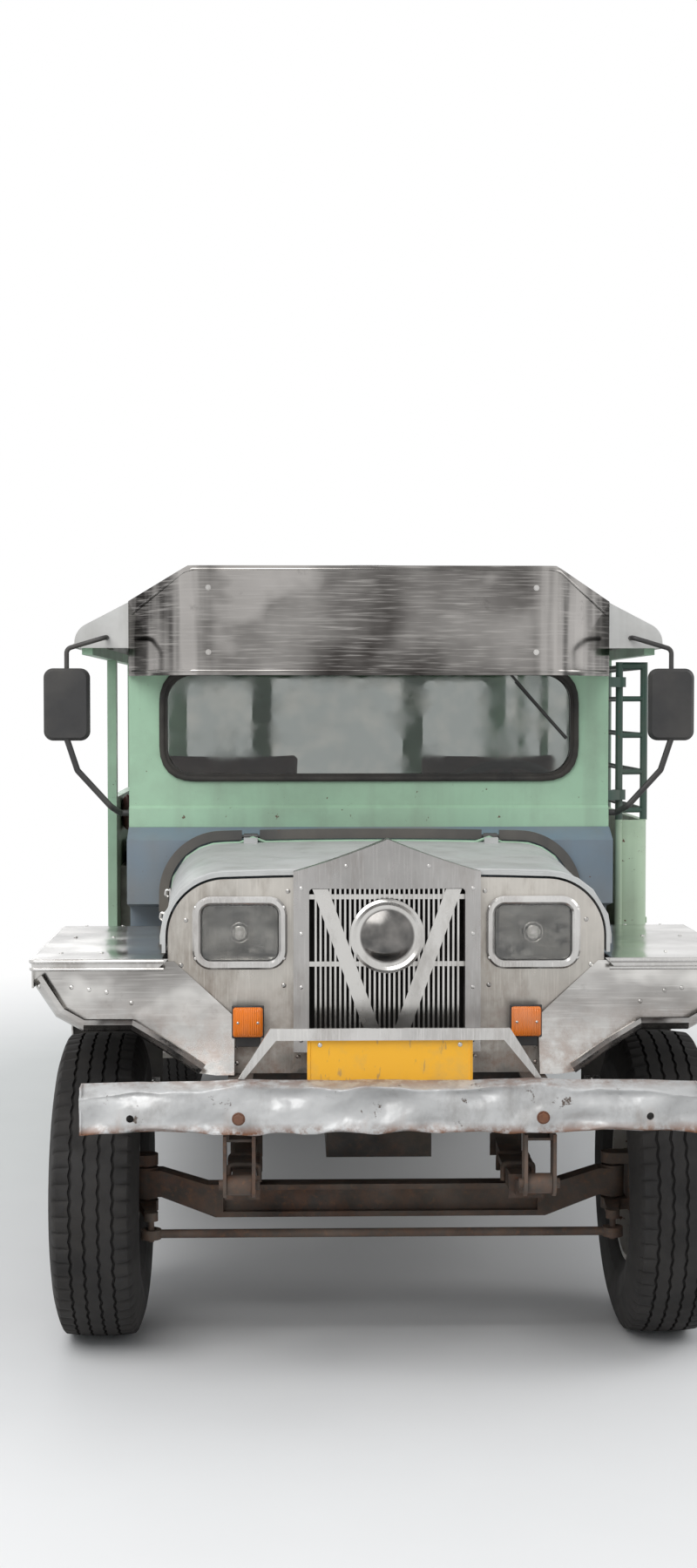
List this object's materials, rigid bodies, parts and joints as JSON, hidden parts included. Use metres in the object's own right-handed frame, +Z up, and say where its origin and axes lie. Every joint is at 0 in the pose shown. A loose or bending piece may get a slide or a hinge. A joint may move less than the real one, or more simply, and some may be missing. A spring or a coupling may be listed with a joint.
{
  "type": "jeepney",
  "caption": "Weathered jeepney: open passenger truck on a ladder frame with a pointed grille shell, polished visor, flared fenders, steered wheels, opening hood and driver's door",
  "frame": {"origin": "On the ground under the middle of the vehicle's box", "axes": "+X is to the left of the vehicle, the side of the steering wheel, +Y is rearwards so that the front faces -Y, and +Z is up"},
  "size_m": [1.912, 5.9, 2.0447],
  "materials": {
    "pale_mint_paint": "gloss",
    "light_green_paint": "gloss",
    "slate_blue_paint": "gloss",
    "silver_paint": "satin",
    "white_grey_paint": "satin",
    "polished_steel": "polished",
    "galvanised_sheet": "brushed",
    "dull_sheet": "brushed",
    "chassis_black": "satin",
    "rusty_steel": "rough",
    "wheel_paint": "satin",
    "tyre_rubber": "matte",
    "black_rubber": "matte",
    "black_plastic": "matte",
    "clear_glass": "clear",
    "amber_lens": "gloss",
    "red_lens": "gloss",
    "plate_yellow": "satin",
    "seat_vinyl": "satin",
    "painted_wood": "satin"
  },
  "bodies": {
    "body": {"bench_cushions": "seat_vinyl", "cab_seats": "seat_vinyl", "cowl": "slate_blue_paint", "cross_members": "chassis_black", "dashboard": "slate_blue_paint", "door_hinges": "light_green_paint", "engine_block": "chassis_black", "exhaust": "rusty_steel", "fender_trims": "polished_steel", "fenders": "galvanised_sheet", "floor": "chassis_black", "frame_rails": "chassis_black", "front_axle_beam": "rusty_steel", "front_bumper": "galvanised_sheet", "fuel_tank": "chassis_black", "grille_bars": "polished_steel", "grille_shell": "polished_steel", "hand_rails": "polished_steel", "lamp_bezels": "polished_steel", "lamp_glasses": "clear_glass", "leaf_springs": "rusty_steel", "mirrors": "black_plastic", "mud_flaps": "black_rubber", "nose_panel": "galvanised_sheet", "number_plate": "plate_yellow", "plate_guard": "galvanised_sheet", "propeller_shaft": "rusty_steel", "radiator": "chassis_black", "rear_axle": "rusty_steel", "rear_lamps": "red_lens", "rear_panel": "pale_mint_paint", "roof": "white_grey_paint", "seat_boxes": "painted_wood", "side_panels": "pale_mint_paint", "spring_hangers": "rusty_steel", "steering_column": "chassis_black", "steps": "galvanised_sheet", "turn_lamps": "amber_lens", "visor": "polished_steel", "window_frames": "pale_mint_paint", "windscreen_frame": "pale_mint_paint", "windscreen_glass": "clear_glass", "windscreen_seal": "black_rubber", "wiper": "black_plastic"},
    "hood": {"hood": "silver_paint"},
    "driver_door": {"driver_door": "light_green_paint"},
    "knuckle_left": {"knuckle_left": "rusty_steel"},
    "knuckle_right": {"knuckle_right": "rusty_steel"},
    "tie_rod": {"tie_rod": "rusty_steel"},
    "steering_wheel": {"steering_wheel": "black_plastic"},
    "wheel_front_left": {"tyre_front_left": "tyre_rubber", "wheel_front_left": "wheel_paint"},
    "wheel_front_right": {"tyre_front_right": "tyre_rubber", "wheel_front_right": "wheel_paint"},
    "wheel_rear_left": {"tyre_rear_left": "tyre_rubber", "wheel_rear_left": "wheel_paint"},
    "wheel_rear_right": {"tyre_rear_right": "tyre_rubber", "wheel_rear_right": "wheel_paint"}
  },
  "joints": [
    {"name": "steering", "type": "hinge", "parent": "body", "child": "knuckle_left", "pos_m": [0.61, -2.33, 0.388], "axis": [0, 0, 1], "range_deg": [-30, 30]},
    {"name": "steering_right", "type": "hinge", "parent": "body", "child": "knuckle_right", "pos_m": [-0.61, -2.33, 0.388], "axis": [0, 0, 1], "range_deg": [-30, 30]},
    {"name": "tie_rod_joint", "type": "hinge", "parent": "knuckle_left", "child": "tie_rod", "pos_m": [0.59, -2.47, 0.286], "axis": [0, 0, 1], "range_deg": [-31, 31]},
    {"name": "steering_wheel_turn", "type": "hinge", "parent": "body", "child": "steering_wheel", "pos_m": [0.43, -1.23, 1.32], "axis": [0, 0.7071, 0.7071], "range_deg": [-480, 480]},
    {"name": "hood_hinge", "type": "hinge", "parent": "body", "child": "hood", "pos_m": [0, -1.656, 1.248], "axis": [-1, 0, 0], "range_deg": [0, 60]},
    {"name": "door_hinge", "type": "hinge", "parent": "body", "child": "driver_door", "pos_m": [0.753, -1.492, 1.27], "axis": [0, 0, -1], "range_deg": [0, 60]},
    {"name": "front_left_roll", "type": "hinge", "parent": "knuckle_left", "child": "wheel_front_left", "pos_m": [0.72, -2.33, 0.388], "axis": [1, 0, 0], "continuous": true},
    {"name": "front_right_roll", "type": "hinge", "parent": "knuckle_right", "child": "wheel_front_right", "pos_m": [-0.72, -2.33, 0.388], "axis": [1, 0, 0], "continuous": true},
    {"name": "rear_left_roll", "type": "hinge", "parent": "body", "child": "wheel_rear_left", "pos_m": [0.72, 1.12, 0.388], "axis": [1, 0, 0], "continuous": true},
    {"name": "rear_right_roll", "type": "hinge", "parent": "body", "child": "wheel_rear_right", "pos_m": [-0.72, 1.12, 0.388], "axis": [1, 0, 0], "continuous": true}
  ],
  "couplings": [
    {"joint": "steering_right", "follows": "steering", "ratio": 1},
    {"joint": "tie_rod_joint", "follows": "steering", "ratio": -1.03},
    {"joint": "steering_wheel_turn", "follows": "steering", "ratio": 16}
  ]
}
